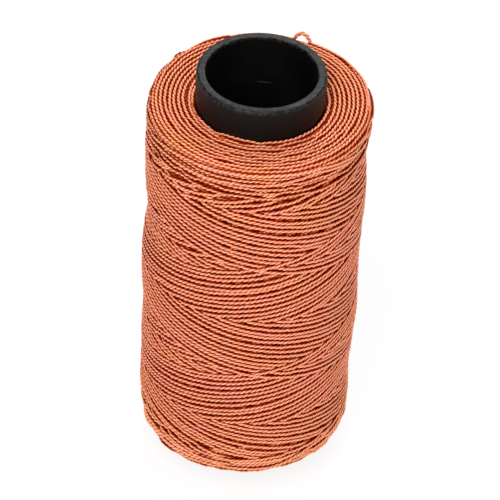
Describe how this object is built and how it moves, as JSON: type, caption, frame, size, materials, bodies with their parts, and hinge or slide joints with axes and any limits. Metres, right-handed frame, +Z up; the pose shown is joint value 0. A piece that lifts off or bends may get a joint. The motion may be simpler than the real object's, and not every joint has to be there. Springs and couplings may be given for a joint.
{
  "type": "waxed thread spool",
  "caption": "Tube spool of waxed leatherworking thread: a black plastic winding tube open at both ends, with salmon-coloured thread cross-wound on it in a straight-sided package.",
  "frame": {"origin": "centre of the tube's lower rim, on the surface that the spool stands on", "axes": "+Z up along the tube's axis; -Y towards the picture's camera, +X to its right"},
  "size_m": [0.0518, 0.0518, 0.1133],
  "materials": {
    "tube_plastic": "satin black",
    "thread": "waxed, with a soft sheen"
  },
  "bodies": {
    "root": {"core_tube": "tube_plastic", "wound_thread_inner": "thread", "wound_thread_outer": "thread"}
  },
  "joints": []
}
